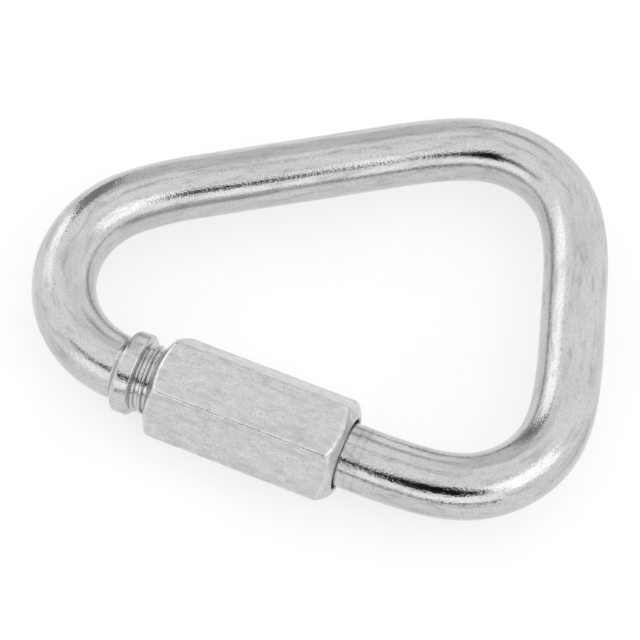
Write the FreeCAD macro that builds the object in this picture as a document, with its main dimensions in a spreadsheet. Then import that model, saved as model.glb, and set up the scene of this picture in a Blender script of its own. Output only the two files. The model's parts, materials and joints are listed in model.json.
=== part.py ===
import FreeCAD, Part
import math
import os
import re
import Sketcher

# Screw quick link of the delta shape: a round steel bar bent into a triangle, with a gate gap in one long
# side, closed by a hexagonal sleeve nut that runs on right-hand threads.
#
# Every sub-part is drawn in the gate frame: X along the gated side, away from the apex, with X = 0 at the
# nut's collar-side face; Y towards the inside of the link; Z square to the link's plane. One Placement then
# turns the gate frame into the part's own frame: X along the link's centre line, origin at the middle of the
# bent bar.

Vector = FreeCAD.Vector
SHEET = "Dimensions"

DIMENSIONS = [
    # alias, value, what it is (mm, or degrees where it says so)
    ("rod_diameter", 8.0, "round bar"),
    ("side_angle", 16.7, "each long side to the link's centre line, degrees"),
    ("corner_radius", 12.1, "base corners, at the bar's centre line"),
    ("corner_lead_radius", 60.0, "gentle start and end of each corner"),
    ("corner_lead_turn", 6.0, "degrees"),
    ("corner_ease_radius", 22.0, "between the gentle start and the tight corner"),
    ("corner_ease_turn", 11.0, "degrees"),
    ("base_straight", 9.1, "straight run in the middle of the base"),
    ("apex_radius", 12.7, "narrow end bend"),
    ("apex_ease_radius", 40.0, "end bend, where it runs into the plain long side"),
    ("apex_ease_turn", 11.5, "degrees"),
    ("collar_diameter", 10.3, "upset stop collar"),
    ("collar_start", 4.75, "collar's apex side, before the nut's face"),
    ("collar_face", 1.85, "collar's nut side, before the nut's face"),
    ("collar_slope", 0.7, "length of the sloping shoulder on the apex side"),
    ("collar_bevel", 0.25, "length of the bevel on the nut side"),
    ("collar_bevel_height", 0.5, "height of that bevel"),
    ("short_stub_tip", 2.2, "end of the stub beside the collar"),
    ("long_stub_tip", 9.5, "end of the stub on the base side"),
    ("plain_bar_start", 24.2, "where the long thread ends and the plain bar starts"),
    ("stub_tip_chamfer", 0.5, "lead-in at the stub tips"),
    ("thread_pitch", 1.0, "one turn of the nut moves it this far"),
    ("thread_root_diameter", 7.6, "outer thread, bottom of the groove"),
    ("thread_crest_diameter", 8.7, "outer thread, rolled proud of the bar"),
    ("crest_width", 0.24, "outer thread, flat on its crest"),
    ("flank_angle", 28.6, "flank to the plane square to the axis, degrees"),
    ("thread_clearance", 0.1, "radial, between the outer and inner thread"),
    ("flank_clearance", 0.07, "along the axis, on each flank"),
    ("short_thread_start", -2.35, "middle of the short thread's first crest, in the collar"),
    ("short_thread_length", 4.0, "travel of the crest along the short stub"),
    ("long_thread_start", 10.65, "middle of the long thread's first crest"),
    ("long_thread_length", 13.0, "travel of the crest along the long stub"),
    ("nut_across_flats", 12.0, "hexagon"),
    ("nut_length", 24.3, "sleeve nut"),
    ("nut_turn", 3.0, "tilt of the nut's upper flat out of the link's plane, degrees"),
    ("nut_face_radius", 5.0, "edge of the flat end face, inside the end shoulder"),
    ("nut_shoulder_angle", 30.0, "end shoulder's slope from the plane square to the axis, degrees"),
    ("nut_shoulder_crown", 14.0, "radius of the slightly crowned end shoulder"),
    ("nut_shoulder_reach", 7.3, "radius that the shoulder is cut out to, past the hexagon's edges"),
    ("nut_thread_length", 14.4, "threaded part of the nut's bore"),
    ("nut_mouth_radius", 4.55, "countersunk mouth of the threaded end"),
    ("nut_bore_radius", 4.7, "plain clearance bore, wider than the outer thread"),
    ("nut_groove_start", -1.35, "middle of the inner thread's first groove, outside the face"),
    ("nut_groove_length", 17.0, "travel of the groove, until it runs out in the clearance bore"),
    ("liner_start", 15.4, "ring of the clearance bore that carries the nut along"),
    ("liner_length", 7.6, "that ring"),
    ("liner_wall", 0.5, "that ring"),
    ("liner_clearance", 0.05, "round that ring, in its recess"),
]

doc = FreeCAD.newDocument("ScrewQuickLink")


def make_sheet():
    """The driving dimensions, one row each: alias, value, note."""
    sheet = doc.addObject("Spreadsheet::Sheet", SHEET)
    for row, (alias, value, note) in enumerate(DIMENSIONS, start=1):
        sheet.set(f"A{row}", alias)
        sheet.set(f"B{row}", str(value))
        sheet.set(f"C{row}", note)
        sheet.setAlias(f"B{row}", alias)
    doc.recompute()
    return sheet


sheet = make_sheet()


def on_sheet(text):
    """An expression in plain alias names, rewritten to point at the sheet's cells."""
    aliases = {alias for alias, _, _ in DIMENSIONS}

    def cell(word):
        return f"{SHEET}.{word.group()}" if word.group() in aliases else word.group()

    return re.sub("[a-z_]+", cell, text)


def value_of(text):
    """What such an expression comes to now: the starting position of sketch geometry."""
    return float(sheet.evalExpression(on_sheet(text)))


def new_body(label):
    body = doc.addObject("PartDesign::Body", label)
    body.Label = label
    return body


def new_sketch(body, name, role):
    """A sketch flat on one of the body's own origin planes."""
    sketch = body.newObject("Sketcher::SketchObject", name)
    plane = next(f for f in body.Origin.OriginFeatures if f.Role == role)
    sketch.AttachmentSupport = [(plane, "")]
    sketch.MapMode = "FlatFace"
    return sketch


def bind(sketch, name, expression, kind, *where):
    """Adds a named dimension to a sketch and binds it to the sheet."""
    start = value_of(expression)
    if kind == "Angle":
        start = math.radians(start)
        expression = f"({expression}) * 1 deg"
    index = sketch.addConstraint(Sketcher.Constraint(kind, *where, start))
    sketch.renameConstraint(index, name)
    sketch.setExpression(f"Constraints.{name}", on_sheet(expression))


def left_arc(start, end, radius):
    """The short arc from start to end that turns left."""
    chord = end - start
    towards_centre = Vector(-chord.y, chord.x, 0).normalize()
    centre = (start + end) / 2 + towards_centre * math.sqrt(radius**2 - (chord.Length / 2) ** 2)
    angles = [math.atan2(p.y - centre.y, p.x - centre.x) for p in (start, end)]
    return Part.ArcOfCircle(Part.Circle(centre, Vector(0, 0, 1), radius), *angles)


def add_outline(sketch, corners, crown=None):
    """A closed outline. Each corner is its x and y, as expressions in the sheet's aliases.

    With a crown, which is a radius, the first edge is an arc that turns left, and not a line."""
    first = sketch.GeometryCount
    points = [Vector(value_of(x), value_of(y), 0) for x, y in corners]
    for i, point in enumerate(points):
        following = points[(i + 1) % len(points)]
        if crown and i == 0:
            sketch.addGeometry(left_arc(point, following, value_of(crown)), False)
        else:
            sketch.addGeometry(Part.LineSegment(point, following), False)
    if crown:
        bind(sketch, f"crown_{first}", crown, "Radius", first)
    for i, (x, y) in enumerate(corners):
        line = first + i
        following = first + (i + 1) % len(corners)
        sketch.addConstraint(Sketcher.Constraint("Coincident", line, 2, following, 1))
        bind(sketch, f"x_{line}", x, "DistanceX", -1, 1, line, 1)
        bind(sketch, f"y_{line}", y, "DistanceY", -1, 1, line, 1)


def turned(body, name, kind, *outlines, crown=None):
    """A solid added or cut by turning outlines about the gate axis."""
    sketch = new_sketch(body, f"{name}_outline", "XY_Plane")
    for corners in outlines:
        add_outline(sketch, corners, crown)
    feature = body.newObject(f"PartDesign::{kind}", name)
    feature.Profile = sketch
    feature.ReferenceAxis = (sketch, ["H_Axis"])
    feature.Angle = 360
    doc.recompute()
    return feature


def threaded(body, name, kind, outline, travel):
    """A right-hand helical ridge or groove along the gate axis, from an outline of one crest."""
    sketch = new_sketch(body, f"{name}_outline", "XY_Plane")
    add_outline(sketch, outline)
    feature = body.newObject(f"PartDesign::{kind}", name)
    feature.Profile = sketch
    feature.ReferenceAxis = (sketch, ["H_Axis"])
    feature.Mode = 0
    feature.setExpression("Pitch", on_sheet("thread_pitch"))
    feature.setExpression("Height", on_sheet(travel))
    feature.LeftHanded = False
    doc.recompute()
    return feature


# ---- the bent bar ----

# Each bend of the bar's centre line is a run of tangent arcs, (radius, turn in degrees), and None is the arc
# that takes up whatever turn is left.
BASE_CORNER = [
    ("corner_lead_radius", "corner_lead_turn"),
    ("corner_ease_radius", "corner_ease_turn"),
    ("corner_radius", None),
    ("corner_ease_radius", "corner_ease_turn"),
    ("corner_lead_radius", "corner_lead_turn"),
]
APEX_BEND = [("apex_ease_radius", "apex_ease_turn"), ("apex_radius", None)]


def bend_arcs(arcs, whole_turn):
    """The arcs of one bend as (radius alias, turn alias or None, turn in radians)."""
    stated = sum(math.radians(value_of(turn)) for _, turn in arcs if turn)
    return [
        (radius, turn, math.radians(value_of(turn)) if turn else whole_turn - stated)
        for radius, turn in arcs
    ]


def step(point, heading, radius, turn):
    """The end of an arc that starts at a point with a heading, turns left and has this radius."""
    new_heading = heading + turn
    right = math.sin(new_heading) - math.sin(heading)
    up = math.cos(heading) - math.cos(new_heading)
    return point + Vector(right, up, 0) * radius


def along(heading):
    return Vector(math.cos(heading), math.sin(heading), 0)


def bend_offset(arcs, heading):
    """How far a bend moves the centre line, and the heading after it."""
    point = Vector()
    for radius, _, turn in arcs:
        point = step(point, heading, value_of(radius), turn)
        heading += turn
    return point, heading


def draw_arc(sketch, point, heading, radius, turn):
    """An arc of the centre line that turns left; returns its end."""
    centre = point + along(heading + math.pi / 2) * radius
    circle = Part.Circle(centre, Vector(0, 0, 1), radius)
    start_angle = heading - math.pi / 2
    sketch.addGeometry(Part.ArcOfCircle(circle, start_angle, start_angle + turn), False)
    return step(point, heading, radius, turn)


def draw_centre_line(sketch):
    """The bar's centre line in the gate frame, from the end of the long thread round to the collar.

    The plain stretch of the gated side, a base corner, the base, the other base corner, the plain long side
    and the apex bend, all tangent. A construction line along the gate closes the loop, so that the two long
    sides keep their angle, and the lengths of the long sides follow from the bends."""
    side_angle = math.radians(value_of("side_angle"))
    corner_arcs = bend_arcs(BASE_CORNER, math.pi / 2 + side_angle)
    apex_arcs = bend_arcs(APEX_BEND, math.pi - 2 * side_angle)

    first_offset, base_heading = bend_offset(corner_arcs, 0.0)
    base_run = along(base_heading) * value_of("base_straight")
    second_offset, long_heading = bend_offset(corner_arcs, base_heading)
    apex_offset, _ = bend_offset(apex_arcs, long_heading)
    bends = first_offset + base_run + second_offset + apex_offset
    long_side = -bends.y / math.sin(long_heading)
    gate_side = -bends.x - long_side * math.cos(long_heading)

    start = Vector(value_of("plain_bar_start"), 0, 0)
    collar_end = Vector(-value_of("collar_start"), 0, 0)
    corner_start = collar_end + Vector(gate_side, 0, 0)
    point, heading = corner_start, 0.0
    sketch.addGeometry(Part.LineSegment(start, corner_start), False)
    for arcs, line_length in ((corner_arcs, value_of("base_straight")), (corner_arcs, long_side)):
        for radius, _, turn in arcs:
            point = draw_arc(sketch, point, heading, value_of(radius), turn)
            heading += turn
        line_end = point + along(heading) * line_length
        sketch.addGeometry(Part.LineSegment(point, line_end), False)
        point = line_end
    for radius, _, turn in apex_arcs:
        point = draw_arc(sketch, point, heading, value_of(radius), turn)
        heading += turn
    sketch.addGeometry(Part.LineSegment(collar_end, start), True)
    return corner_arcs, apex_arcs


def constrain_centre_line(sketch, corner_arcs, apex_arcs):
    """Ties the centre line's lines and arcs together and binds their sizes to the sheet."""
    closing = sketch.GeometryCount - 1
    base = 1 + len(corner_arcs)
    long_side = base + 1 + len(corner_arcs)
    for piece in range(closing):
        tangent = Sketcher.Constraint("Tangent", piece, 2, piece + 1, 1)
        sketch.addConstraint(tangent)
    sketch.addConstraint(Sketcher.Constraint("Coincident", closing, 2, 0, 1))
    sketch.addConstraint(Sketcher.Constraint("Horizontal", 0))
    sketch.addConstraint(Sketcher.Constraint("PointOnObject", 0, 1, -1))
    bind(sketch, "plain_start", "plain_bar_start", "DistanceX", -1, 1, 0, 1)
    bind(sketch, "collar_end", "-collar_start", "DistanceX", -1, 1, closing, 1)
    bind(sketch, "base_length", "base_straight", "Distance", base)
    bends = ((1, corner_arcs), (base + 1, corner_arcs), (long_side + 1, apex_arcs))
    for first, arcs in bends:
        for i, (radius, turn, _) in enumerate(arcs):
            arc = first + i
            bind(sketch, f"radius_{arc}", radius, "Radius", arc)
            if turn:
                bind(sketch, f"turn_{arc}", turn, "Angle", arc)
    bind(sketch, "base_heading", "90 + side_angle", "Angle", 0, 1, base, 1)
    bind(sketch, "long_side_heading", "180 + 2 * side_angle", "Angle", 0, 1, long_side, 1)
    sketch.addConstraint(Sketcher.Constraint("Horizontal", closing))


def make_link_bar():
    """Bent bar with its stop collar and two threaded stubs, all one piece of steel."""
    body = new_body("link_bar")

    centre_line = new_sketch(body, "centre_line", "XY_Plane")
    corner_arcs, apex_arcs = draw_centre_line(centre_line)
    constrain_centre_line(centre_line, corner_arcs, apex_arcs)

    section = new_sketch(body, "bar_section", "YZ_Plane")
    section.addGeometry(Part.Circle(Vector(), Vector(0, 0, 1), value_of("rod_diameter / 2")), False)
    section.addConstraint(Sketcher.Constraint("Coincident", 0, 3, -1, 1))
    bind(section, "rod", "rod_diameter / 2", "Radius", 0)
    section.setExpression("AttachmentOffset.Base.z", on_sheet("plain_bar_start"))
    doc.recompute()

    bar = body.newObject("PartDesign::AdditivePipe", "bent_bar")
    bar.Profile = section
    bar.Spine = (centre_line, [])
    doc.recompute()

    root = "thread_root_diameter / 2"
    turned(
        body,
        "collar_and_short_stub",
        "Revolution",
        [
            ("-collar_start", "0"),
            ("-collar_start", "rod_diameter / 2"),
            ("-collar_start + collar_slope", "collar_diameter / 2"),
            ("-collar_face - collar_bevel", "collar_diameter / 2"),
            ("-collar_face", "collar_diameter / 2 - collar_bevel_height"),
            ("-collar_face", root),
            ("short_stub_tip - stub_tip_chamfer", root),
            ("short_stub_tip", f"{root} - stub_tip_chamfer"),
            ("short_stub_tip", "0"),
        ],
    )
    turned(
        body,
        "long_stub",
        "Revolution",
        [
            ("long_stub_tip", "0"),
            ("long_stub_tip", f"{root} - stub_tip_chamfer"),
            ("long_stub_tip + stub_tip_chamfer", root),
            ("plain_bar_start", root),
            ("plain_bar_start", "0"),
        ],
    )
    threads = (
        ("short_thread", "short_thread_start", "short_thread_length"),
        ("long_thread", "long_thread_start", "long_thread_length"),
    )
    for name, middle, travel in threads:
        threaded(body, name, "AdditiveHelix", crest_outline(middle), travel)
    return body


def crest_outline(middle):
    """One crest of the outer thread, with its foot sunk a little into the stub's core."""
    foot = "0.1"
    slope = "tan(flank_angle * 1 deg)"
    crest = "thread_crest_diameter / 2"
    root = f"thread_root_diameter / 2 - {foot}"
    half_foot = f"(crest_width / 2 + ({crest} - ({root})) * {slope})"
    return [
        (f"{middle} - {half_foot}", root),
        (f"{middle} - crest_width / 2", crest),
        (f"{middle} + crest_width / 2", crest),
        (f"{middle} + {half_foot}", root),
    ]


# ---- the sleeve nut ----


def hexagon(sketch):
    """The nut's hexagon about the gate axis, with its upper flat turned a little out of the link's plane."""
    circle_radius = value_of("nut_across_flats / sqrt(3)")
    tilt = math.radians(value_of("nut_turn"))
    sides = 6
    angles = [tilt + math.tau * (i + 1) / sides for i in range(sides)]
    points = [Vector(math.cos(a), math.sin(a), 0) * circle_radius for a in angles]
    for i, point in enumerate(points):
        sketch.addGeometry(Part.LineSegment(point, points[(i + 1) % sides]), False)
    sketch.addGeometry(Part.Circle(Vector(), Vector(0, 0, 1), circle_radius), True)
    round_it = sides
    sketch.addConstraint(Sketcher.Constraint("Coincident", round_it, 3, -1, 1))
    for line in range(sides):
        sketch.addConstraint(Sketcher.Constraint("Coincident", line, 2, (line + 1) % sides, 1))
        sketch.addConstraint(Sketcher.Constraint("PointOnObject", line, 1, round_it))
    for line in range(1, sides):
        sketch.addConstraint(Sketcher.Constraint("Equal", 0, line))
    bind(sketch, "corner_radius", "nut_across_flats / sqrt(3)", "Radius", round_it)
    bind(sketch, "upper_flat", "180 + nut_turn", "Angle", 0)


def make_lock_nut():
    """Hexagonal sleeve nut: threaded at the collar end, plain clearance bore at the base end."""
    body = new_body("lock_nut")

    section = new_sketch(body, "hexagon", "YZ_Plane")
    hexagon(section)
    prism = body.newObject("PartDesign::Pad", "prism")
    prism.Profile = section
    prism.setExpression("Length", on_sheet("nut_length"))
    doc.recompute()

    face = "nut_face_radius"
    reach = "nut_shoulder_reach"
    depth = f"({reach} - {face}) * tan(nut_shoulder_angle * 1 deg)"
    turned(
        body,
        "end_shoulders",
        "Groove",
        [(depth, reach), ("0", face), ("0", reach)],
        [("nut_length", face), (f"nut_length - {depth}", reach), ("nut_length", reach)],
        crown="nut_shoulder_crown",
    )

    minor = "(thread_root_diameter / 2 + thread_clearance)"
    recess_start = "liner_start - liner_clearance"
    recess_end = "liner_start + liner_length + liner_clearance"
    recess_radius = "nut_bore_radius + liner_wall + liner_clearance"
    turned(
        body,
        "bore",
        "Groove",
        [
            ("0", "0"),
            ("0", "nut_mouth_radius"),
            (f"nut_mouth_radius - {minor}", minor),
            ("nut_thread_length", minor),
            (f"nut_thread_length + nut_bore_radius - {minor}", "nut_bore_radius"),
            (recess_start, "nut_bore_radius"),
            (recess_start, recess_radius),
            (recess_end, recess_radius),
            (recess_end, "nut_bore_radius"),
            ("nut_length", "nut_bore_radius"),
            ("nut_length", "0"),
        ],
    )
    groove = groove_outline("nut_groove_start")
    threaded(body, "inner_thread", "SubtractiveHelix", groove, "nut_groove_length")
    return body


def groove_outline(middle):
    """One groove of the inner thread: the outer thread's crest, larger by the clearances."""
    mouth = "0.1"
    slope = "tan(flank_angle * 1 deg)"
    bottom = "(thread_crest_diameter / 2 + thread_clearance)"
    top = f"(thread_root_diameter / 2 + thread_clearance - {mouth})"
    half_bottom = f"(crest_width / 2 + flank_clearance - thread_clearance * {slope})"
    half_top = f"({half_bottom} + ({bottom} - {top}) * {slope})"
    return [
        (f"{middle} - {half_top}", top),
        (f"{middle} - {half_bottom}", bottom),
        (f"{middle} + {half_bottom}", bottom),
        (f"{middle} + {half_top}", top),
    ]


def make_bore_liner():
    """Ring of the nut's clearance bore that slides with the nut and doesn't turn."""
    body = new_body("nut_bore_liner")
    end = "liner_start + liner_length"
    outer = "nut_bore_radius + liner_wall"
    turned(
        body,
        "ring",
        "Revolution",
        [
            ("liner_start", "nut_bore_radius"),
            ("liner_start", outer),
            (end, outer),
            (end, "nut_bore_radius"),
        ],
    )
    return body


# ---- assembly ----


def gate_frame(link_bar):
    """Where the gate frame sits in the part's frame: the bent bar's box has its middle at the origin."""
    turn = FreeCAD.Rotation(Vector(0, 0, 1), -value_of("side_angle"))
    centre_line = link_bar.getObject("centre_line").Shape.copy()
    centre_line.Placement = FreeCAD.Placement(Vector(), turn)
    box = centre_line.optimalBoundingBox(False)
    return FreeCAD.Placement(-box.Center, turn)


def check(document, bodies):
    """Stops if any object failed to build, or a sub-part isn't one valid closed solid."""
    for item in document.Objects:
        if {"Invalid", "Error"} & set(item.State):
            raise RuntimeError(f"{item.Name} did not build: {item.State}")
    for body in bodies:
        shape = body.Shape
        if shape.isNull() or not shape.isValid() or len(shape.Solids) != 1:
            raise RuntimeError(f"{body.Label} is not one valid solid")


def check_cuts(nut):
    """Stops if a cut took nothing away from the nut."""
    stages = ("prism", "end_shoulders", "bore", "inner_thread")
    volumes = [nut.getObject(name).Shape.Volume for name in stages]
    if any(after >= before for before, after in zip(volumes, volumes[1:])):
        raise RuntimeError(f"a cut in the nut took nothing away: {volumes}")


link_bar = make_link_bar()
lock_nut = make_lock_nut()
bore_liner = make_bore_liner()
bodies = [link_bar, lock_nut, bore_liner]

placement = gate_frame(link_bar)
for body in bodies:
    body.Placement = placement
doc.recompute()
check(doc, bodies)
check_cuts(lock_nut)

os.makedirs("parts", exist_ok=True)
for body in bodies:
    body.Shape.exportStep(f"parts/{body.Label}.step")
    print(body.Label, "volume", round(body.Shape.Volume, 1), "mm3")
print("gate frame origin", placement.Base, "angle", -value_of("side_angle"))
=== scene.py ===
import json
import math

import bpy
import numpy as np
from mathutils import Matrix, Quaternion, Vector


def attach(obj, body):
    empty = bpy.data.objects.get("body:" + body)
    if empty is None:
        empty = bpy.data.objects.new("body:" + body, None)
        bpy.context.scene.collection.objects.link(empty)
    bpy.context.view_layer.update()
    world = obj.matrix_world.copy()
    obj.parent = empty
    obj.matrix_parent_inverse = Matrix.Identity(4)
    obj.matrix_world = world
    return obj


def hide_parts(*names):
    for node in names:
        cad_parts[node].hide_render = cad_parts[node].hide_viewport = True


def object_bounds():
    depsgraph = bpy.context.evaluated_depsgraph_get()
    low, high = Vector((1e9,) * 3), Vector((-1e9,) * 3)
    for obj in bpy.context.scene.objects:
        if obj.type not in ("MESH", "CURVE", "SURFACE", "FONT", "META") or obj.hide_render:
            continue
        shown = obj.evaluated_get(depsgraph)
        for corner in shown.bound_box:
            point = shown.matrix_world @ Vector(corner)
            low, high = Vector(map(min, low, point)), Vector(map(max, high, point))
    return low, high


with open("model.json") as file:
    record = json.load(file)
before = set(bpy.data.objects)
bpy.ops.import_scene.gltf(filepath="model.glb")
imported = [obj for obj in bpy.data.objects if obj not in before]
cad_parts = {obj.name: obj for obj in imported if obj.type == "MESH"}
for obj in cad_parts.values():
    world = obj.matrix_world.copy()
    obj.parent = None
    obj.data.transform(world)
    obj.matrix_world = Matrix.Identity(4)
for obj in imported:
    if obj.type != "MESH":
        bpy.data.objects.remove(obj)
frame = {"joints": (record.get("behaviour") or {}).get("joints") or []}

# Looks of a zinc-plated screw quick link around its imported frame. Lengths in this script are millimetres
# until a mesh, a lamp or the camera is made, and MM turns them into metres.
#
# The gate frame is the one the link is easiest to state in: X along the gated side, away from the apex, with
# X = 0 at the nut's collar-side face; Y towards the inside of the link; Z square to the link's plane. Angles
# round the gate axis go from Y towards Z.

MM = 0.001
CAD_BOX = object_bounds()

# ---- dimensions of the sleeve nut ----

# As in the CAD part, except that the thread is 0.12 mm shallower, the edges are rounded, and the far end of
# the bore has a narrow lip.
NUT_LENGTH = 24.3
NUT_ACROSS_FLATS = 12.0
NUT_TURN = math.radians(3.0)
NUT_FACE_RADIUS = 5.0
NUT_CONE = math.tan(math.radians(30.0))
NUT_EDGE_ROUND = 0.55
NUT_MOUTH_RADIUS = 4.55
NUT_BORE_RADIUS = 4.7
NUT_LIP_RADIUS = 4.42
NUT_LIP_LENGTH = 0.5
NUT_LIP_END = 0.8
NUT_THREAD_END = 14.4
NUT_MINOR_RADIUS = 4.02
NUT_GROOVE_RADIUS = 4.45
NUT_GROOVE_HALF_FLAT = 0.1355
NUT_GROOVE = {"start": -1.35, "travel": 17.0}
NUT_MOUTH_DEPTH = NUT_MOUTH_RADIUS - NUT_MINOR_RADIUS

# How far the corners of the nut's section are cut back before they are rounded.
MOUTH_CUT = 0.1
COLLAR_END_CUT = 0.18
CONE_CUT = 0.5
FAR_END_CUT = 0.22
LIP_FACE_CUT = 0.18
LIP_CUT = 0.1

# The ring of the nut's bore that slides without turning, and its play in the recess that holds it.
RING_START = 15.4
RING_LENGTH = 7.6
RING_WALL = 0.5
RING_ROOM = 0.05
RING_CUT = 0.06

# ---- dimensions of the bent bar ----

# As in the CAD part, except that the thread is 0.16 mm shallower, the collar is 0.25 mm further from the nut,
# and the corners and the stub tips are rounded.
ROD_RADIUS = 4.0
CORE_RADIUS = 3.96
CREST_RADIUS = 4.35
CREST_HALF_FLAT = 0.12
PITCH = 1.0
FLANK = math.tan(math.radians(28.6))
THREAD_FADE = (-0.05, 0.3)
SHORT_THREAD = {"start": -2.35, "travel": 4.0}
LONG_THREAD = {"start": 10.65, "travel": 13.0}
SHORT_STUB_TIP = 2.2
LONG_STUB_TIP = 9.5
PLAIN_BAR_START = 24.2
ROOT_RAMP = 0.3
TIP_CHAMFER = 0.5
TIP_CROWN = 0.25
TIP_LENGTH = TIP_CHAMFER + 0.2

# A stub's end: depth from the tip, radius, and how far the corner is cut back.
TIP_OUTLINE = [
    (0.02, 0.4, 0.0),
    (0.06, (CORE_RADIUS - TIP_CHAMFER) * 0.6, 0.3),
    (TIP_CROWN * 0.6, CORE_RADIUS - TIP_CHAMFER, 0.12),
    (TIP_CHAMFER, CORE_RADIUS - 0.02, 0.08),
    (TIP_LENGTH, CORE_RADIUS, 0.0),
]

# The collar is upset on the bar. LOOP_START is the end of the apex bend, where the centre line starts, and
# COLLAR_LEAD is how much of the bend before it the collar's own outline takes over. The outline holds x,
# radius, and how far the corner is cut back.
LOOP_START = -4.75
COLLAR_LEAD = 1.35
COLLAR_START = -5.0
COLLAR_FACE = -2.1
COLLAR_RADIUS = 5.15
COLLAR_ROUNDING_STEPS = 7
COLLAR_OUTLINE = [
    (COLLAR_START - 0.5, ROD_RADIUS, 0.0),
    (COLLAR_START, ROD_RADIUS + 0.02, 0.2),
    (COLLAR_START + 0.7, COLLAR_RADIUS, 0.38),
    (COLLAR_FACE - 0.38, COLLAR_RADIUS - 0.02, 0.16),
    (COLLAR_FACE, COLLAR_RADIUS - 0.5, 0.16),
    (COLLAR_FACE, CORE_RADIUS + 0.05, 0.0),
]

# Bends of the centre line, as (radius, degrees).
CORNER_BENDS = [(60.0, 6.0), (22.0, 11.0), (12.1, 72.7), (22.0, 11.0), (60.0, 6.0)]
APEX_BENDS = [(40.0, 11.5), (12.7, 135.1)]
BASE_STRAIGHT = 9.1

# Faint rings that the thread die left on the plain bar.
RUNOUT_RINGS = (25.55, 26.55, 27.55)
RUNOUT_HALF_WIDTH = 0.2

# ---- unevenness: random waves, with ranges for their length and for their lobes round the axis ----

BAR_WAVES = {"seed": 7, "count": 9, "lengths": (9.0, 26.0), "lobes": (1, 4), "height": 0.012}
BAR_WAVES_FADE = 3.0
DENTS = {"seed": 5, "count": 8, "lengths": (1.6, 5.0), "lobes": (2, 8), "height": 0.035}
DENTS_FADE_IN = (0.1, 0.8)
DENTS_FADE_OUT = 0.4
NUT_WAVES = {"seed": 11, "count": 7, "lengths": (7.0, 22.0), "lobes": (1, 7), "height": 0.008}
NUT_WAVES_FADE = (0.4, 2.0)
NUT_WAVES_FROM_RADIUS = 5.9

# ---- fineness of the meshes ----

BAR_AROUND = 112
THREAD_STEP = 0.0625
RAMP_STEP = 0.05
PLAIN_STEP = 0.08
BEND_STEP = 0.6

# From the end of one run of rings to the start of the next.
LONG_ROOT_GAP = 0.05
RAMP_GAP = 0.01
PLAIN_GAP = 0.1
COLLAR_ROOT_GAP = 0.03
SHORT_ROOT_GAP = 0.02
RECESS_GAP = 0.02

# How far out a supporting point stands, in cuts.
SUPPORT = 1.35

# Half of one flat of the nut, in degrees from its edge: close columns over the rounding, then even ones.
EDGE_COLUMNS = [0.0, 0.3, 0.6, 0.9, 1.22, 1.34, 1.8, 2.8]
FLAT_COLUMNS = {"start": 4.4, "stop": 30.0, "num": 17}
FLAT_ROWS = 24
MOUTH_ROWS = 3
SIXTH = math.tau / 6

# How open each surface is, to wear and dirt and to light: 1 is open, 0 is a thread's root, where the colour
# is darkened as dirt and as painted shade.
OPEN = 1.0
IN_THREAD = 0.25
OPEN_FROM_RADIUS = NUT_BORE_RADIUS - 0.02
ON_RING = 0.4

# How far from the nut's outer edges their wear reaches, and the radius from which an edge is an outer one.
EDGE_REACH = 2.0
OUTER_EDGE_RADIUS = NUT_FACE_RADIUS + 0.1

# ---- the gate frame, from the record's screw joint ----

SPIN = next(joint for joint in frame["joints"] if joint["name"] == "nut_spin")
GATE_X = Vector(SPIN["axis"]).normalized()
GATE_Z = Vector((0.0, 0.0, 1.0))
GATE_Y = GATE_Z.cross(GATE_X)
GATE_ORIGIN = Vector(SPIN["pos_m"]) - GATE_X * (NUT_LENGTH / 2 * MM)
GATE_AXES = np.array([GATE_X, GATE_Y, GATE_Z])


def from_gate(points):
    """Points in the gate frame, in millimetres, to the row frame in metres."""
    return np.asarray(points) @ GATE_AXES * MM + np.array(GATE_ORIGIN)


# ---- mesh code ----


def ring_faces(rings, around, capped):
    """Quads between rings of points. A capped skin has a fan at each end; any other joins last to first."""
    i = np.arange(rings - 1 if capped else rings)[:, None]
    j = np.arange(around)[None, :]
    here, after = i * around, (i + 1) % rings * around
    turn = (j + 1) % around
    quads = np.stack([here + j, here + turn, after + turn, after + j], axis=-1).reshape(-1, 4)
    faces = quads.tolist()
    if capped:
        first, last = rings * around, rings * around + 1
        tail = (rings - 1) * around
        faces += [(first, (k + 1) % around, k) for k in range(around)]
        faces += [(last, tail + k, tail + (k + 1) % around) for k in range(around)]
    return faces


def with_ends(rows, around):
    """One row for each point, and two more for the middles of the first and the last ring."""
    return np.vstack([rows, rows[:around].mean(axis=0), rows[-around:].mean(axis=0)])


def add_skin(name, grid, capped, facts):
    """A smooth mesh over a grid of rings of points, closed round each ring.

    facts holds what the materials read at each point: name to an array, one row for each grid point."""
    rings, around, _ = grid.shape
    points = grid.reshape(-1, 3)
    faces = ring_faces(rings, around, capped)
    mesh = bpy.data.meshes.new(name)
    mesh.from_pydata((with_ends(points, around) if capped else points).tolist(), [], faces)
    mesh.polygons.foreach_set("use_smooth", np.ones(len(faces), bool))
    for fact, values in facts.items():
        values = values.reshape(rings * around, -1)
        if capped:
            values = with_ends(values, around)
        kind, field = ("FLOAT", "value") if values.shape[1] == 1 else ("FLOAT_VECTOR", "vector")
        layer = mesh.attributes.new(fact, kind, "POINT")
        layer.data.foreach_set(field, values.astype(np.float32).ravel())
    mesh.validate()
    mesh.update()
    piece = bpy.data.objects.new(name, mesh)
    bpy.context.scene.collection.objects.link(piece)
    return piece


def smoothstep(low, high, value):
    share = np.clip((value - low) / (high - low), 0.0, 1.0)
    return share * share * (3.0 - 2.0 * share)


def section_point(x, r):
    """x and r as an array whose last axis is (x, r)."""
    return np.stack(np.broadcast_arrays(x, r), axis=-1).astype(float)


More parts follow.
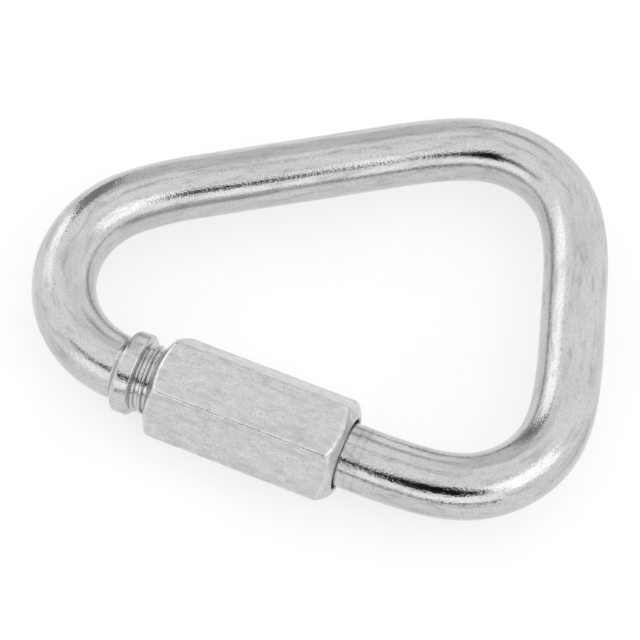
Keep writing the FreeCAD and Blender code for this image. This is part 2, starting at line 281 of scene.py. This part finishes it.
def eased_outline(corners, steps=5):
    """An outline through corners, each (x, r, cut), with every corner cut back and rounded.

    x and r may be arrays, one value for each angle round the axis. A supporting point is set just outside
    each rounded corner so that flat parts stay flat in the shading."""
    points = []
    for k, (x, r, cut) in enumerate(corners):
        corner = section_point(x, r)
        if cut == 0.0 or k in (0, len(corners) - 1):
            points.append(corner)
            continue
        runs = [section_point(*corners[near][:2]) - corner for near in (k - 1, k + 1)]
        before, after = (run / np.linalg.norm(run, axis=-1, keepdims=True) for run in runs)
        start, end = corner + before * cut, corner + after * cut
        points.append(corner + before * cut * SUPPORT)
        for t in np.linspace(0.0, 1.0, steps):
            points.append(start * (1 - t) ** 2 + corner * 2 * t * (1 - t) + end * t**2)
        points.append(corner + after * cut * SUPPORT)
    return points


def thread_height(x, angle, thread, half_flat, height):
    """How far a right-hand thread stands out: 0 at its root, 1 at its crest, fading in at both ends."""
    turns = angle / math.tau
    offset = (x - thread["start"]) / PITCH - turns
    nearest = np.round(offset)
    across = np.abs(offset - nearest) * PITCH
    run = nearest + turns
    total = thread["travel"] / PITCH
    outer, inner = THREAD_FADE
    inside = smoothstep(outer, inner, run) * smoothstep(total - outer, total - inner, run)
    return np.clip((half_flat + height * FLANK - across) / (height * FLANK), 0.0, 1.0) * inside


def random_waves(along, angle, waves):
    """Height of a sum of random waves along a piece and round it, in millimetres."""
    rng = np.random.default_rng(waves["seed"])
    height = np.zeros(np.broadcast(along, angle).shape)
    for _ in range(waves["count"]):
        length, lobes = rng.uniform(*waves["lengths"]), rng.integers(*waves["lobes"])
        phases = rng.uniform(0.0, math.tau, 2)
        height += np.sin(along / length * math.tau + phases[0]) * np.cos(lobes * angle + phases[1])
    return height * waves["height"] / math.sqrt(waves["count"])


# ---- the bent bar ----


def arc_end(point, heading, radius, turn):
    return point + radius * np.array(
        [math.sin(heading + turn) - math.sin(heading), math.cos(heading) - math.cos(heading + turn)]
    )


def bend_moves(bends, heading):
    """How far a run of bends moves the centre line, and the heading after it."""
    point = np.zeros(2)
    for radius, degrees in bends:
        point = arc_end(point, heading, radius, math.radians(degrees))
        heading += math.radians(degrees)
    return point, heading


def centre_line_pieces():
    """The closed centre line from the end of the apex bend.

    Each piece is (length, 0) for a straight or (radius, turn) for a bend. The two long straights have the
    lengths that close the line."""
    first, base_heading = bend_moves(CORNER_BENDS, 0.0)
    base = BASE_STRAIGHT * np.array([math.cos(base_heading), math.sin(base_heading)])
    second, long_heading = bend_moves(CORNER_BENDS, base_heading)
    apex, _ = bend_moves(APEX_BENDS, long_heading)
    bends = first + base + second + apex
    long_side = -bends[1] / math.sin(long_heading)
    gate_side = -bends[0] - long_side * math.cos(long_heading)
    corner = [(radius, math.radians(degrees)) for radius, degrees in CORNER_BENDS]
    return [
        (gate_side, 0.0),
        *corner,
        (BASE_STRAIGHT, 0.0),
        *corner,
        (long_side, 0.0),
        *[(radius, math.radians(degrees)) for radius, degrees in APEX_BENDS],
    ]


def piece_point(point, heading, size, turn, share):
    """Where a share of one piece of the centre line ends, from the point and heading at its start."""
    if turn:
        return arc_end(point, heading, size, turn * share)
    return point + size * share * np.array([math.cos(heading), math.sin(heading)])


def bent_stations():
    """Points and headings along the bent part, from the end of the gate's straight round to the collar."""
    pieces = centre_line_pieces()
    point, heading = np.array([LOOP_START + pieces[0][0], 0.0]), 0.0
    points, headings = [], []
    for size, turn in pieces[1:]:
        length = size * turn if turn else size
        steps = max(2, round(length / BEND_STEP))
        for share in np.arange(steps) / steps:
            points.append(piece_point(point, heading, size, turn, share))
            headings.append(heading + turn * share)
        point = piece_point(point, heading, size, turn, 1.0)
        heading += turn
    return np.array(points), np.array(headings)


def stub_tip(tip, inwards):
    """Outline of a stub's end: a slightly crowned face and a rounded chamfer.

    inwards is 1 where x grows into the stub, and otherwise -1."""
    return [(tip + inwards * depth, radius, cut) for depth, radius, cut in TIP_OUTLINE]


def long_stub_outline(straight_end):
    """Rows (x, r): the tip, the thread's root, a short ramp to the plain bar, and the bar to straight_end."""
    root_start = LONG_STUB_TIP + TIP_LENGTH + LONG_ROOT_GAP
    ramp_start = PLAIN_BAR_START - ROOT_RAMP
    rows = eased_outline(stub_tip(LONG_STUB_TIP, 1.0))
    rows += [(x, CORE_RADIUS) for x in np.arange(root_start, ramp_start, THREAD_STEP)]
    for x in np.arange(ramp_start + RAMP_GAP, PLAIN_BAR_START + RAMP_STEP, RAMP_STEP):
        share = float(smoothstep(ramp_start, PLAIN_BAR_START, x))
        rows.append((x, CORE_RADIUS + (ROD_RADIUS - CORE_RADIUS) * share))
    rows += [(x, ROD_RADIUS) for x in np.arange(PLAIN_BAR_START + PLAIN_GAP, straight_end, PLAIN_STEP)]
    return np.array(rows)


def short_stub_outline():
    """Rows (x, r) from the collar's face over the thread's root to the tip."""
    root_end = SHORT_STUB_TIP - TIP_LENGTH - SHORT_ROOT_GAP
    rows = [(x, CORE_RADIUS) for x in np.arange(COLLAR_FACE + COLLAR_ROOT_GAP, root_end, THREAD_STEP)]
    return np.array(rows + eased_outline(stub_tip(SHORT_STUB_TIP, -1.0))[::-1])


def bar_stations():
    """The bar's rings, from the long stub's tip round to the short one's: x, y, radius, heading and part."""
    bent_points, bent_headings = bent_stations()
    straight_end = bent_points[0][0]
    clear = np.hypot(bent_points[:, 0] - LOOP_START, bent_points[:, 1]) > COLLAR_LEAD
    bent_points, bent_headings = bent_points[clear], bent_headings[clear]
    outlines = {
        "long": long_stub_outline(straight_end),
        "bent": section_point(bent_points[:, 0], ROD_RADIUS),
        "collar": np.array(eased_outline(COLLAR_OUTLINE, COLLAR_ROUNDING_STEPS)),
        "short": short_stub_outline(),
    }
    x, r = np.vstack(list(outlines.values())).T
    part = np.repeat(list(outlines), [len(rows) for rows in outlines.values()])
    y, heading = np.zeros(len(x)), np.zeros(len(x))
    y[part == "bent"] = bent_points[:, 1]
    heading[part == "bent"] = bent_headings
    return x, y, r, heading, part


def threaded_radius(x, r, angle, part):
    """Radius at every ring and angle with both threads on it, and how far up a thread each point is."""
    radius = np.repeat(r[:, None], len(angle), axis=1)
    crest = np.zeros_like(radius)
    height = CREST_RADIUS - CORE_RADIUS
    for name, thread in (("long", LONG_THREAD), ("short", SHORT_THREAD)):
        rows = part == name
        rise = thread_height(x[rows, None], angle[None, :], thread, CREST_HALF_FLAT, height)
        crest[rows] = smoothstep(0.0, 1.0, rise)
        root = np.minimum(r[rows], CORE_RADIUS)[:, None]
        radius[rows] = np.maximum(radius[rows], root + height * crest[rows])
    return radius, crest


def bar_unevenness(x, run, angle, part):
    """Slow waves of the drawn and bent bar and dents of its upset collar, in millimetres."""
    wavy = smoothstep(0.0, BAR_WAVES_FADE, x - PLAIN_BAR_START) * (part == "long") + (part == "bent")
    fade_in = smoothstep(*DENTS_FADE_IN, x - COLLAR_START)
    dented = fade_in * smoothstep(COLLAR_FACE, COLLAR_FACE - DENTS_FADE_OUT, x) * (part == "collar")
    waves = random_waves(run[:, None], angle[None, :], BAR_WAVES) * wavy[:, None]
    return waves + random_waves(x[:, None], angle[None, :], DENTS) * dented[:, None]


def make_link_bar():
    """Bar, stop collar and both threaded stubs as one skin."""
    angle = np.arange(BAR_AROUND) / BAR_AROUND * math.tau
    x, y, r, heading, part = bar_stations()
    run = np.concatenate([[0.0], np.cumsum(np.hypot(np.diff(x), np.diff(y)))])
    radius, crest = threaded_radius(x, r, angle, part)
    radius += bar_unevenness(x, run, angle, part)

    side = np.stack([-np.sin(heading), np.cos(heading), np.zeros_like(heading)], axis=-1)
    centre = np.stack([x, y, np.zeros_like(x)], axis=-1)
    up = np.array([0.0, 0.0, 1.0])
    out = np.cos(angle)[None, :, None] * side[:, None, :] + np.sin(angle)[None, :, None] * up
    grid = from_gate(centre[:, None, :] + radius[:, :, None] * out)

    unrolled = np.broadcast_arrays(run[:, None], radius * np.cos(angle), radius * np.sin(angle))
    threaded = np.isin(part, ("long", "short")) & (x < PLAIN_BAR_START)
    rings = sum(np.exp(-(((x - ring) / RUNOUT_HALF_WIDTH) ** 2)) for ring in RUNOUT_RINGS)
    facts = {
        "unrolled_mm": np.stack(unrolled, axis=-1),
        # Thread roots get a darker colour from this fact: partly dirt, partly painted shade.
        "clear_of_shade_and_dirt": np.where(threaded[:, None], crest, OPEN),
        "stain": np.repeat((rings * (part == "long"))[:, None], BAR_AROUND, axis=1),
    }
    piece = add_skin("link_bar_skin", grid, True, facts)
    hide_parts("link_bar")
    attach(piece, "link")
    return piece


# ---- the sleeve nut ----


def hexagon_angles():
    """Angles round the nut, close together at its six edges."""
    half = np.radians(np.concatenate([EDGE_COLUMNS, np.linspace(**FLAT_COLUMNS)]))
    sector = np.concatenate([half, SIXTH - half[-2:0:-1]])
    return np.concatenate([edge + sector for edge in NUT_TURN + np.arange(6) * SIXTH])


def off_edge(angle):
    """How far round the axis from the nearest of the nut's six edges."""
    return np.abs((angle - NUT_TURN + SIXTH / 2) % SIXTH - SIXTH / 2)


def hexagon_radius(angle):
    """Distance from the axis to the hexagon with rounded edges, at each angle."""
    off = off_edge(angle)
    inner = (NUT_ACROSS_FLATS / 2 - NUT_EDGE_ROUND) / math.cos(SIXTH / 2)
    flat = NUT_ACROSS_FLATS / 2 / np.cos(SIXTH / 2 - off)
    reach = NUT_EDGE_ROUND**2 - (inner * np.sin(off)) ** 2
    arc = inner * np.cos(off) + np.sqrt(np.maximum(reach, 0.0))
    across, ahead = NUT_EDGE_ROUND * math.sin(SIXTH / 2), NUT_EDGE_ROUND * math.cos(SIXTH / 2)
    return np.where(off < math.atan2(across, inner + ahead), arc, flat)


def edge_closeness(x, r, angle, cone):
    """How close to the nut's outer edges: 1 on an edge, 0 from EDGE_REACH away."""
    from_edge = off_edge(angle)[None, :] * r
    from_end = np.minimum(np.abs(x - cone), np.abs(x - NUT_LENGTH + cone))
    nearest = np.where(r > OUTER_EDGE_RADIUS, np.minimum(from_edge, from_end), EDGE_REACH)
    return np.clip(1.0 - nearest / EDGE_REACH, 0.0, 1.0)


def nut_outside(outer, cone):
    """Points (x, r) for each row and angle, from the mouth over the flats and the lip to the far bore."""
    recess_end = RING_START + RING_LENGTH + RING_ROOM
    corners = [
        (NUT_MOUTH_DEPTH, NUT_MINOR_RADIUS, 0.0),
        (0.0, NUT_MOUTH_RADIUS, MOUTH_CUT),
        (0.0, NUT_FACE_RADIUS, COLLAR_END_CUT),
        (cone, outer, CONE_CUT),
        (NUT_LENGTH - cone, outer, CONE_CUT),
        (NUT_LENGTH, NUT_FACE_RADIUS, FAR_END_CUT),
        (NUT_LENGTH, NUT_LIP_RADIUS, LIP_FACE_CUT),
        (NUT_LENGTH - NUT_LIP_LENGTH, NUT_LIP_RADIUS, LIP_CUT),
        (NUT_LENGTH - NUT_LIP_END, NUT_BORE_RADIUS, LIP_CUT),
        (recess_end + RECESS_GAP, NUT_BORE_RADIUS, 0.0),
    ]
    rows = np.array([np.broadcast_to(row, (len(outer), 2)) for row in eased_outline(corners)])
    flat = np.argmax(np.diff(rows[:, :, 0], axis=0).min(axis=1)) + 1
    shares = np.linspace(0.0, 1.0, FLAT_ROWS + 2)[1:-1, None, None]
    between = rows[flat - 1] + (rows[flat] - rows[flat - 1]) * shares
    return np.concatenate([rows[:flat], between, rows[flat:]])


def recess_rows():
    """Rows (x, r) round the recess that holds the sliding ring, from its far side."""
    recess = NUT_BORE_RADIUS + RING_WALL + RING_ROOM
    near, far = RING_START - RING_ROOM, RING_START + RING_LENGTH + RING_ROOM
    return [(far, NUT_BORE_RADIUS), (far, recess), (near, recess), (near, NUT_BORE_RADIUS)]


def bore_rows():
    """Rows (x, r) from the recess back to the mouth: plain bore, slope, and the thread's minor radius."""
    rows = np.arange(RING_START - RING_ROOM - THREAD_STEP, NUT_MOUTH_DEPTH, -THREAD_STEP)
    slope = NUT_BORE_RADIUS - NUT_MINOR_RADIUS
    return [(x, NUT_MINOR_RADIUS + min(max(x - NUT_THREAD_END, 0.0), slope)) for x in rows]


def nut_section(angle, outer, cone):
    """x and r at every row and angle round the nut's section, with its thread cut and its flats uneven."""
    outside, recess, bore = nut_outside(outer, cone), recess_rows(), bore_rows()
    inside = [np.broadcast_to(row, (len(angle), 2)) for row in recess + bore]
    x, r = np.moveaxis(np.concatenate([outside, inside]), -1, 0)

    height = NUT_GROOVE_RADIUS - NUT_MINOR_RADIUS
    groove = thread_height(x, angle[None, :], NUT_GROOVE, NUT_GROOVE_HALF_FLAT, height)
    cut = NUT_MINOR_RADIUS + height * groove
    row = np.arange(len(x))[:, None]
    in_mouth = row < MOUTH_ROWS
    in_bore = row >= len(outside) + len(recess)
    r = np.where((in_mouth | in_bore) & (cut > r), cut, r)

    near, far = NUT_WAVES_FADE
    fade = smoothstep(near, far, x) * smoothstep(NUT_LENGTH - near, NUT_LENGTH - far, x)
    return x, r + random_waves(x, angle[None, :], NUT_WAVES) * fade * (r > NUT_WAVES_FROM_RADIUS)


def make_lock_nut():
    """Hexagonal sleeve nut: rounded edges, coned ends, threaded at the collar end and plain beyond."""
    angle = hexagon_angles()
    outer = hexagon_radius(angle)
    cone = (outer - NUT_FACE_RADIUS) * NUT_CONE
    x, r = nut_section(angle, outer, cone)
    local = np.stack([x, r * np.cos(angle), r * np.sin(angle)], axis=-1)
    facts = {
        "unrolled_mm": local,
        # Inside the nut's thread the colour is darkened from this fact: partly dirt, partly painted shade.
        "clear_of_shade_and_dirt": np.where(r > OPEN_FROM_RADIUS, OPEN, IN_THREAD),
        "edge": edge_closeness(x, r, angle, cone),
    }
    piece = add_skin("lock_nut_skin", from_gate(local), False, facts)
    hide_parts("lock_nut")
    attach(piece, "nut")
    return piece


def make_bore_ring():
    """Smooth ring of the nut's clearance bore that slides with the nut without turning."""
    angle = np.arange(BAR_AROUND) / BAR_AROUND * math.tau
    start, end = RING_START, RING_START + RING_LENGTH
    inner, outer = NUT_BORE_RADIUS, NUT_BORE_RADIUS + RING_WALL
    middle = (start + end) / 2
    corners = [
        (middle, inner, 0.0),
        (start, inner, RING_CUT),
        (start, outer, RING_CUT),
        (end, outer, RING_CUT),
        (end, inner, RING_CUT),
        (middle, inner, 0.0),
    ]
    outline = np.array(eased_outline(corners)[:-1])
    x, r = (np.repeat(column[:, None], BAR_AROUND, axis=1) for column in outline.T)
    local = np.stack([x, r * np.cos(angle), r * np.sin(angle)], axis=-1)
    # The ring inside the bore is darkened a little from this fact: partly dirt, partly painted shade.
    facts = {"unrolled_mm": local, "clear_of_shade_and_dirt": np.full(x.shape, ON_RING)}
    piece = add_skin("nut_bore_ring", from_gate(local), False, facts)
    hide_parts("nut_bore_liner")
    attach(piece, "nut_carrier")
    return piece


# ---- materials ----


class Nodes:
    """A material's node tree, with short calls for the nodes that these materials use."""

    def __init__(self, name):
        self.material = bpy.data.materials.new(name)
        self.material.use_nodes = True
        self.tree = self.material.node_tree
        self.shader = self.tree.nodes["Principled BSDF"]

    def connect(self, node, inputs):
        """Set a node's inputs, each to a plain value or to another node's output."""
        for socket, value in inputs.items():
            if isinstance(value, bpy.types.NodeSocket):
                self.tree.links.new(value, node.inputs[socket])
            else:
                node.inputs[socket].default_value = value

    def add(self, kind, inputs, **settings):
        node = self.tree.nodes.new(kind)
        for setting, value in settings.items():
            setattr(node, setting, value)
        self.connect(node, inputs)
        return node

    def attribute(self, name, output):
        return self.add("ShaderNodeAttribute", {}, attribute_name=name).outputs[output]

    def object_place(self):
        return self.add("ShaderNodeTexCoord", {}).outputs["Object"]

    def stretched(self, vector, scale):
        return self.add("ShaderNodeVectorMath", {0: vector, 1: scale}, operation="MULTIPLY").outputs[0]

    def noise(self, vector, scale, detail, roughness=0.55, distortion=0.0):
        inputs = {
            "Vector": vector,
            "Scale": scale,
            "Detail": detail,
            "Roughness": roughness,
            "Distortion": distortion,
        }
        return self.add("ShaderNodeTexNoise", inputs).outputs["Fac"]

    def map(self, value, low, high, to_low, to_high, smooth=False):
        kind = "SMOOTHSTEP" if smooth else "LINEAR"
        inputs = {"Value": value, "From Min": low, "From Max": high, "To Min": to_low, "To Max": to_high}
        return self.add("ShaderNodeMapRange", inputs, interpolation_type=kind).outputs["Result"]

    def math(self, operation, first, second):
        return self.add("ShaderNodeMath", {0: first, 1: second}, operation=operation).outputs[0]

    def mix(self, share, first, second):
        """Two colours, mixed. A mix node holds its colour sockets at 6 and 7, and its colour output at 2."""
        return self.add("ShaderNodeMix", {0: share, 6: first, 7: second}, data_type="RGBA").outputs[2]

    def bump(self, height, distance, below=None):
        """A bumped normal, on top of the one below where there is one."""
        inputs = {"Height": height, "Distance": distance, "Strength": 1.0}
        if below is not None:
            inputs["Normal"] = below
        return self.add("ShaderNodeBump", inputs).outputs["Normal"]


# The noises that the marks of the plating follow.
CLOUD_NOISE = {"scale": 0.35, "detail": 5.0, "roughness": 0.55, "distortion": 0.1}
SMEAR_NOISE = {"scale": 1.0, "detail": 5.0, "roughness": 0.65, "distortion": 0.3}
LINE_NOISE = {"scale": 1.0, "detail": 3.0, "roughness": 0.6}
GRAIN_NOISE = {"detail": 2.0, "roughness": 0.6}
PORE_NOISE = {"detail": 3.0, "roughness": 0.5}

# Where each mark starts and where it is full, on the noise or the fact that carries it.
CLOUD_RAMP = (0.38, 0.68)
SMEAR_RAMP = (0.47, 0.72)
PIT_RAMP = (0.5, 0.3)
STAIN_RAMP = (0.35, 0.6)
STAIN_SHARES = (0.15, 0.6)
ROOT_DIRT_AND_SHADE_RAMP = (0.0, 0.7)
GRIME_RAMP = (0.0, 0.8)
POLISH_RAMP = (0.78, 0.93)
POLISH_CLOUDS = (0.42, 0.58)
POLISH_SHARES = (0.9, 0.2)
ROUGH_CLOUDS = (0.3, 0.75)
ROUGH_SMEARS = (0.45, 0.75)
ROOT_ROUGH = 0.15


def plate_marks(nodes, look):
    """What the plating's colour, roughness and relief follow, by name."""
    place = nodes.attribute("unrolled_mm", "Vector")
    edge = nodes.attribute("edge", "Fac")
    clouds = nodes.noise(nodes.stretched(place, look["cloud_stretch"]), **CLOUD_NOISE)
    smears = nodes.noise(nodes.stretched(place, look["smear_stretch"]), **SMEAR_NOISE)
    rubbed = nodes.map(edge, *POLISH_RAMP, 0.0, 1.0, smooth=True)
    broken = nodes.map(clouds, *POLISH_CLOUDS, *POLISH_SHARES, smooth=True)
    # Thread roots and the nut's threaded bore are darkened: partly dirt, partly painted shade.
    root_dirt_and_shade = nodes.map(
        nodes.attribute("clear_of_shade_and_dirt", "Fac"), *ROOT_DIRT_AND_SHADE_RAMP, look["root_dirt_and_shade"], 0.0, smooth=True
    )
    return {
        "clouds": clouds,
        "smears": nodes.math("ADD", smears, nodes.map(edge, *GRIME_RAMP, 0.0, look["edge_grime"])),
        "lines": nodes.noise(nodes.stretched(place, look["line_stretch"]), **LINE_NOISE),
        "grain": nodes.noise(place, look["grain_scale"], **GRAIN_NOISE),
        "pores": nodes.noise(place, look["pore_scale"], **PORE_NOISE),
        "polish": nodes.math("MULTIPLY", rubbed, broken),
        "root_dirt_and_shade": root_dirt_and_shade,
    }


def plate_colour(nodes, look, marks):
    """Clouds of two greys, darker in smears, pits and run-out rings, darker in thread roots with dirt and
    painted shade, and bright where polished.
    """
    clouds = nodes.map(marks["clouds"], *CLOUD_RAMP, 0.0, 1.0, smooth=True)
    smears = nodes.map(marks["smears"], *SMEAR_RAMP, 0.0, look["smear_share"], smooth=True)
    pits = nodes.map(marks["grain"], *PIT_RAMP, 0.0, look["pit_share"])
    worn = nodes.map(marks["smears"], *STAIN_RAMP, *STAIN_SHARES)
    stains = nodes.math("MULTIPLY", nodes.attribute("stain", "Fac"), worn)
    colour = nodes.mix(clouds, look["bright"], look["dull"])
    for share in (smears, pits, stains):
        colour = nodes.mix(share, colour, look["smear"])
    # Painted shade with dirt: the root colour darkens thread roots, the nut's threaded bore and the bore
    # ring.
    colour = nodes.mix(marks["root_dirt_and_shade"], colour, look["root"])
    return nodes.mix(marks["polish"], colour, look["bright"])


def plate_roughness(nodes, look, marks):
    """Rougher in clouds, smears and thread roots, and smoother where polished."""
    rough = nodes.map(marks["clouds"], *ROUGH_CLOUDS, *look["rough"])
    smeared = nodes.map(marks["smears"], *ROUGH_SMEARS, 0.0, look["smear_rough"], smooth=True)
    rough = nodes.math("ADD", rough, smeared)
    rough = nodes.math("ADD", rough, nodes.map(marks["root_dirt_and_shade"], 0.0, 1.0, 0.0, ROOT_ROUGH))
    return nodes.math("MULTIPLY", rough, nodes.map(marks["polish"], 0.0, 1.0, 1.0, look["edge_rough"]))


def plate_relief(nodes, look, marks):
    """Drawing lines, pores and grain, as one bumped normal."""
    normal = None
    for mark, depth in (("lines", "line_depth"), ("pores", "pore_depth"), ("grain", "grain_depth")):
        normal = nodes.bump(marks[mark], look[depth] * MM, normal)
    return normal


def zinc(name, look):
    """Bright zinc plate on steel: cloudy, finely grained, with drawing lines along it and dull spots."""
    nodes = Nodes(name)
    marks = plate_marks(nodes, look)
    shader_inputs = {
        "Base Color": plate_colour(nodes, look, marks),
        "Roughness": plate_roughness(nodes, look, marks),
        "Normal": plate_relief(nodes, look, marks),
        "Metallic": 1.0,
    }
    nodes.connect(nodes.shader, shader_inputs)
    return nodes.material


BAR_LOOK = {
    "cloud_stretch": (0.35, 1.3, 1.3),
    "smear_stretch": (0.22, 1.0, 1.0),
    "line_stretch": (0.04, 5.0, 5.0),
    "grain_scale": 3.8,
    "pore_scale": 1.6,
    "bright": (0.6, 0.6, 0.588, 1.0),
    "dull": (0.54, 0.54, 0.528, 1.0),
    "smear": (0.36, 0.36, 0.348, 1.0),
    # Colour of thread roots, and how much of it is mixed in: dirt and painted shade.
    "root": (0.22, 0.22, 0.215, 1.0),
    "smear_share": 0.8,
    "root_dirt_and_shade": 0.05,
    "rough": (0.02, 0.07),
    "smear_rough": 0.08,
    "edge_rough": 1.0,
    "edge_grime": 0.0,
    "pit_share": 0.5,
    "line_depth": 0.006,
    "pore_depth": 0.012,
    "grain_depth": 0.022,
}

NUT_LOOK = {
    "cloud_stretch": (2.6, 3.4, 3.4),
    "smear_stretch": (0.35, 1.3, 1.3),
    "line_stretch": (4.0, 0.25, 0.25),
    "grain_scale": 5.5,
    "pore_scale": 1.3,
    "bright": (0.65, 0.65, 0.636, 1.0),
    "dull": (0.59, 0.59, 0.577, 1.0),
    "smear": (0.38, 0.375, 0.355, 1.0),
    # Colour of the nut's thread roots and bore, and how much of it is mixed in: dirt and painted shade.
    "root": (0.2, 0.2, 0.195, 1.0),
    "smear_share": 0.4,
    "root_dirt_and_shade": 0.6,
    "rough": (0.2, 0.38),
    "smear_rough": 0.1,
    "edge_rough": 0.15,
    "edge_grime": 0.08,
    "pit_share": 0.7,
    "line_depth": 0.002,
    "pore_depth": 0.008,
    "grain_depth": 0.018,
}

# ---- stage: floor, light and camera ----

CENTRE = (CAD_BOX[0] + CAD_BOX[1]) / 2
CAMERA_AZIMUTH = 5.09
CAMERA_ELEVATION = 61.8
CAMERA_DISTANCE = 0.2935
CAMERA_TARGET = Vector((0.57, -3.15, 0.0)) * MM
CAMERA_ROLL = math.radians(1.13)
CAMERA_LENS = 135.0
CAMERA_SENSOR = 36.0
CAMERA_CLIP = (0.01, 20.0)

WHITE = (1.0, 1.0, 1.0, 1.0)
WORLD_STRENGTH = 1.08
MATTE_SPECULAR = 0.1

FLOOR_SIZE = 4.0
FLOOR_DROP = 0.0002
FLOOR_SHADES = (0.32, 0.36)
FLOOR_SURFACE = {"grain": 60.0, "detail": 3.0, "rough": 0.9}
FLOOR_GLOW = 0.68

CARD_STEPS = 12
CARD_MOTTLE = (0.9, 1.1)
CARD_SURFACE = {"grain": 30.0, "detail": 2.0, "rough": 0.95}

# Cards that the metal mirrors: name, azimuths, elevations, distance, shade and glow.
CARDS = [
    ("camera_card", (-22.0, 12.0), (29.0, 57.0), 0.6, 0.01, 0.0),
    ("rail_card", (-50.0, -22.0), (37.0, 48.0), 0.6, 0.02, 0.0),
    ("rail_end_card", (-76.0, -50.0), (35.0, 43.0), 0.6, 0.3, 0.0),
    ("rail_far_card", (12.0, 26.0), (34.0, 48.0), 0.6, 0.01, 0.0),
    ("back_card", (178.0, 203.0), (0.5, 55.0), 1.2, 0.77, 0.0),
    ("back_edge_card", (162.0, 178.0), (26.0, 38.0), 1.2, 0.5, 0.0),
    ("gap_card", (203.0, 218.0), (2.0, 43.0), 1.2, 0.3, 0.0),
    ("seam_card", (160.0, 200.0), (74.0, 76.0), 0.7, 0.03, 0.0),
    ("rim_card", (-36.0, 32.0), (-0.3, 5.0), 0.9, 0.14, 0.0),
    ("front_board", (-62.0, 34.0), (9.0, 29.0), 0.9, 0.5, 0.85),
]

# Soft lamps: name, azimuth, elevation, distance, width, height and radiance.
SOFTBOXES = [
    ("right_softbox", 60.0, 41.0, 1.0, 0.74, 0.62, 0.7),
    ("back_left_softbox", -125.0, 28.0, 1.0, 0.50, 0.48, 0.5),
]


def direction(azimuth, elevation):
    """From the object, in degrees: azimuth 0 is -Y and 90 is +X."""
    a, e = math.radians(azimuth), math.radians(elevation)
    return Vector((math.sin(a) * math.cos(e), -math.cos(a) * math.cos(e), math.sin(e)))


def matte(name, shades, glow, grain, detail, rough):
    """A matte material, mottled between two close shades of grey, that may glow."""
    nodes = Nodes(name)
    low, high = ((shade, shade, shade, 1.0) for shade in shades)
    shader_inputs = {
        "Base Color": nodes.mix(nodes.noise(nodes.object_place(), grain, detail), low, high),
        "Roughness": rough,
        "Specular IOR Level": MATTE_SPECULAR,
        "Emission Color": WHITE,
        "Emission Strength": glow,
    }
    nodes.connect(nodes.shader, shader_inputs)
    return nodes.material


def add_matte_mesh(name, points, faces, material):
    mesh = bpy.data.meshes.new(name)
    mesh.from_pydata(points, [], faces)
    mesh.materials.append(material)
    backdrop = bpy.data.objects.new(name, mesh)
    bpy.context.scene.collection.objects.link(backdrop)
    return backdrop


def make_floor():
    """Pale matte sweep, much larger than the view."""
    half = FLOOR_SIZE / 2
    z = CAD_BOX[0].z - FLOOR_DROP
    corners = [(-half, -half, z), (half, -half, z), (half, half, z), (-half, half, z)]
    pale = matte("pale_floor", FLOOR_SHADES, FLOOR_GLOW, **FLOOR_SURFACE)
    floor = add_matte_mesh("floor", corners, [(0, 1, 2, 3)], pale)


def make_card(name, azimuths, elevations, distance, shade, glow):
    """A matte card bent round the object, over a range of azimuths and of elevations."""
    row = CARD_STEPS + 1
    across, up = np.linspace(*azimuths, row), np.linspace(*elevations, row)
    points = [CENTRE + direction(azimuth, elevation) * distance for elevation in up for azimuth in across]
    corners = [j * row + i for j in range(CARD_STEPS) for i in range(CARD_STEPS)]
    faces = [(c, c + 1, c + row + 1, c + row) for c in corners]
    shades = [shade * share for share in CARD_MOTTLE]
    cloth = matte(name + "_cloth", shades, glow, **CARD_SURFACE)
    card = add_matte_mesh(name, points, faces, cloth)


def make_softbox(name, azimuth, elevation, distance, width, height, radiance):
    """A rectangular soft lamp of even radiance, facing the object."""
    lamp = bpy.data.lights.new(name, "AREA")
    lamp.shape = "RECTANGLE"
    lamp.size, lamp.size_y = width, height
    lamp.energy = radiance * math.pi * width * height
    light = bpy.data.objects.new(name, lamp)
    place = CENTRE + direction(azimuth, elevation) * distance
    light.location = place
    light.rotation_euler = (CENTRE - place).to_track_quat("-Z", "Y").to_euler()
    bpy.context.scene.collection.objects.link(light)


def make_world():
    world = bpy.data.worlds.new("studio")
    world.use_nodes = True
    background = world.node_tree.nodes["Background"]
    background.inputs["Color"].default_value = WHITE
    background.inputs["Strength"].default_value = WORLD_STRENGTH
    bpy.context.scene.world = world


def make_camera():
    data = bpy.data.cameras.new("camera")
    data.lens = CAMERA_LENS
    data.sensor_width = CAMERA_SENSOR
    data.clip_start, data.clip_end = CAMERA_CLIP
    camera = bpy.data.objects.new("camera", data)
    back = direction(CAMERA_AZIMUTH, CAMERA_ELEVATION)
    camera.location = CAMERA_TARGET + back * CAMERA_DISTANCE
    camera.rotation_mode = "QUATERNION"
    camera.rotation_quaternion = (-back).to_track_quat("-Z", "Y") @ Quaternion((0, 0, 1), CAMERA_ROLL)
    bpy.context.scene.collection.objects.link(camera)
    bpy.context.scene.camera = camera


link_bar = make_link_bar()
lock_nut = make_lock_nut()
bore_ring = make_bore_ring()

bar_zinc = zinc("bar_zinc_plate", BAR_LOOK)
nut_zinc = zinc("nut_zinc_plate", NUT_LOOK)
link_bar.data.materials.append(bar_zinc)
lock_nut.data.materials.append(nut_zinc)
bore_ring.data.materials.append(nut_zinc)

make_world()
make_floor()
for card_values in CARDS:
    make_card(*card_values)
for softbox_values in SOFTBOXES:
    make_softbox(*softbox_values)
make_camera()
bpy.context.scene.view_settings.view_transform = "Standard"
